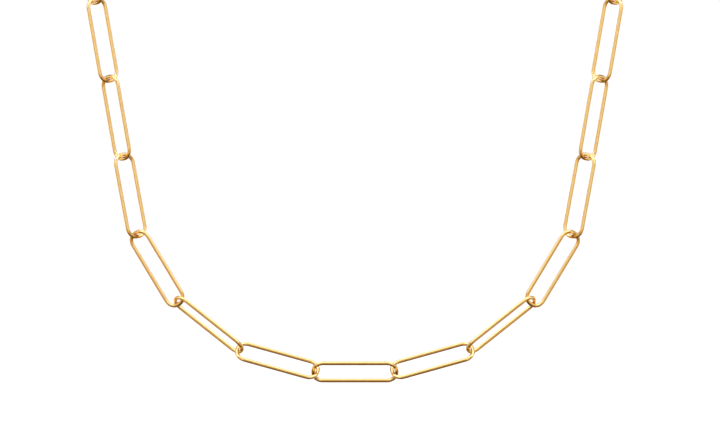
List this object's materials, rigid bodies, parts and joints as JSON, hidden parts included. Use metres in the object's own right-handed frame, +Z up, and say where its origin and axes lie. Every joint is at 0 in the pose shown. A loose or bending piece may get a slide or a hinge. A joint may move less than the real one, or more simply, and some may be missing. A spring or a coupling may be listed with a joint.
{
  "type": "paperclip chain necklace",
  "caption": "Closed loop of long, round-ended wire links in polished gold plate, hung as worn round a neck, with a plain ring clasp at the nape.",
  "frame": {"origin": "The nape of the neck, at the middle of the clasp, where the necklace hangs on its wearer.", "axes": "+Z up, +X to the wearer's left (right as seen from the front), +Y towards the wearer's back; the loop lies in one plane that leans 45 degrees, from the low front up and back to the nape."},
  "size_m": [0.1292, 0.1167, 0.1171],
  "materials": {
    "gold_plate": "gold plated and polished to a soft mirror"
  },
  "bodies": {
    "root": {"link_01": "gold_plate", "link_02": "gold_plate", "link_03": "gold_plate", "link_04": "gold_plate", "link_05": "gold_plate", "link_06": "gold_plate", "link_07": "gold_plate", "link_08": "gold_plate", "link_09": "gold_plate", "link_10": "gold_plate", "link_11": "gold_plate", "link_12": "gold_plate", "link_13": "gold_plate", "link_14": "gold_plate", "link_15": "gold_plate", "link_16": "gold_plate", "link_17": "gold_plate", "link_18": "gold_plate", "link_19": "gold_plate", "link_20": "gold_plate", "link_21": "gold_plate", "link_22": "gold_plate", "link_23": "gold_plate", "link_24": "gold_plate", "link_25": "gold_plate", "clasp": "gold_plate"}
  },
  "joints": []
}
